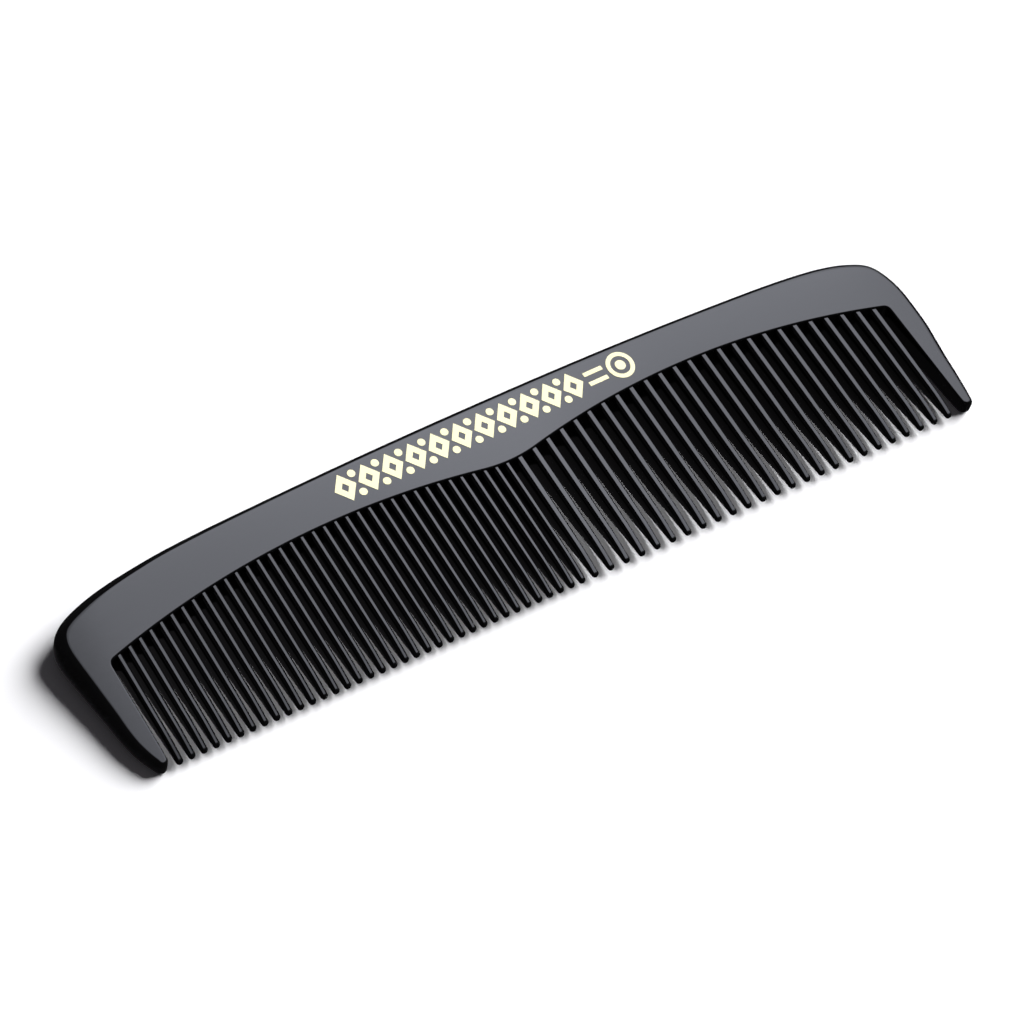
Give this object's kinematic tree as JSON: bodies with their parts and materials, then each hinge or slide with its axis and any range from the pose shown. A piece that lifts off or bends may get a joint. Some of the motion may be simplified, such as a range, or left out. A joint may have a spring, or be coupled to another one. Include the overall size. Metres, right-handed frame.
{
  "type": "beard comb",
  "caption": "Flat pocket comb with fine teeth on one half, coarse teeth on the other, an end guard on each side and a foil ornament on the spine.",
  "frame": {"origin": "centre of the comb's footprint, on its flat back face", "axes": "+X along the comb from the fine end to the coarse end, +Y from the tooth tips to the spine, +Z out of the front face through the thickness"},
  "size_m": [0.127, 0.0276, 0.0048],
  "materials": {
    "comb_plastic": "gloss",
    "cream_foil": "satin"
  },
  "bodies": {
    "root": {"spine": "comb_plastic", "fine_end_guard": "comb_plastic", "coarse_end_guard": "comb_plastic", "fine_teeth": "comb_plastic", "coarse_teeth": "comb_plastic", "foil_ornament": "cream_foil"}
  },
  "joints": []
}
